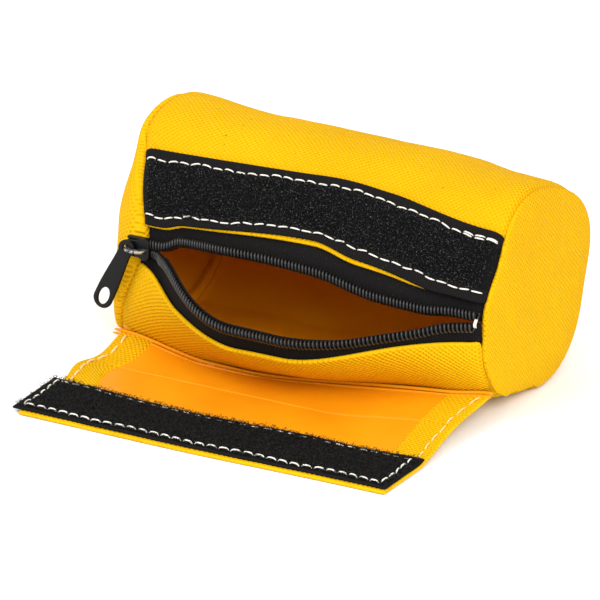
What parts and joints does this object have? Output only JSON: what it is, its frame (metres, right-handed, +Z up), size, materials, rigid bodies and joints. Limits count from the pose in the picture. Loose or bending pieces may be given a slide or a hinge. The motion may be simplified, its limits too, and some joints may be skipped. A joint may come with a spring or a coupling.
{
  "type": "treat pouch",
  "caption": "Barrel-shaped fabric treat pouch with a zip mouth along the front and a hook-and-loop cover flap, shown open.",
  "frame": {"origin": "on the flat bottom of the barrel, under its middle", "axes": "+X along the barrel towards the end where the zip closes, -Y towards the front with the zip and the flap, +Z up"},
  "size_m": [0.1506, 0.142, 0.0705],
  "materials": {
    "saffron_fabric": "bright saffron-yellow coated plain-woven fabric",
    "black_tape": "black woven tape with a hook or loop pile",
    "zip_coil": "black coil",
    "black_enamel": "black enamel, worn to bare metal at the bridge",
    "white_thread": "off-white sewing thread"
  },
  "bodies": {
    "pouch_body": {"main_panel": "saffron_fabric", "end_panel_left": "saffron_fabric", "end_panel_right": "saffron_fabric", "hook_strip": "black_tape", "hook_stitching_lower": "white_thread", "hook_stitching_upper": "white_thread", "flap_seam_stitching": "white_thread", "zip_tape_upper": "black_tape", "zip_coil_upper": "zip_coil", "zip_end_tack": "white_thread"},
    "lower_lip": {"lower_front_panel": "saffron_fabric", "zip_tape_lower": "black_tape", "zip_coil_lower": "zip_coil"},
    "zip_slider": {"slider_body": "black_enamel"},
    "zip_pull": {"pull_tab": "black_enamel"},
    "flap_base": {"flap_lower": "saffron_fabric", "flap_hem_stitching_left": "white_thread", "flap_hem_stitching_right": "white_thread"},
    "flap_tip": {"flap_upper": "saffron_fabric", "loop_strip": "black_tape", "loop_strip_stitching": "white_thread"}
  },
  "joints": [
    {"name": "flap_seam_turn", "type": "hinge", "parent": "pouch_body", "child": "flap_base", "pos_m": [0, -0.036, 0.0024], "axis": [-1, 0, 0], "range_deg": [0, 61]},
    {"name": "flap_bend_turn", "type": "hinge", "parent": "flap_base", "child": "flap_tip", "pos_m": [0, -0.0725, 0.002], "axis": [-1, 0, 0], "range_deg": [0, 66.5]},
    {"name": "zip_slide", "type": "slide", "parent": "pouch_body", "child": "zip_slider", "axis": [1, 0, 0], "range_m": [0, 0.121]},
    {"name": "lip_turn", "type": "hinge", "parent": "pouch_body", "child": "lower_lip", "pos_m": [0, -0.0346, 0.005], "axis": [-1, 0, 0], "range_deg": [0, 46.1], "deforming": ["lower_front_panel", "zip_tape_lower", "zip_coil_lower"]},
    {"name": "pull_swing", "type": "hinge", "parent": "zip_slider", "child": "zip_pull", "pos_m": [-0.0642, -0.0413, 0.039], "axis": [0, 1, 0], "range_deg": [-10, 60]}
  ],
  "couplings": [
    {"joint": "flap_bend_turn", "follows": "flap_seam_turn", "ratio": 1.082},
    {"joint": "lip_turn", "follows": "zip_slide", "rad_per_m": 6.635}
  ]
}
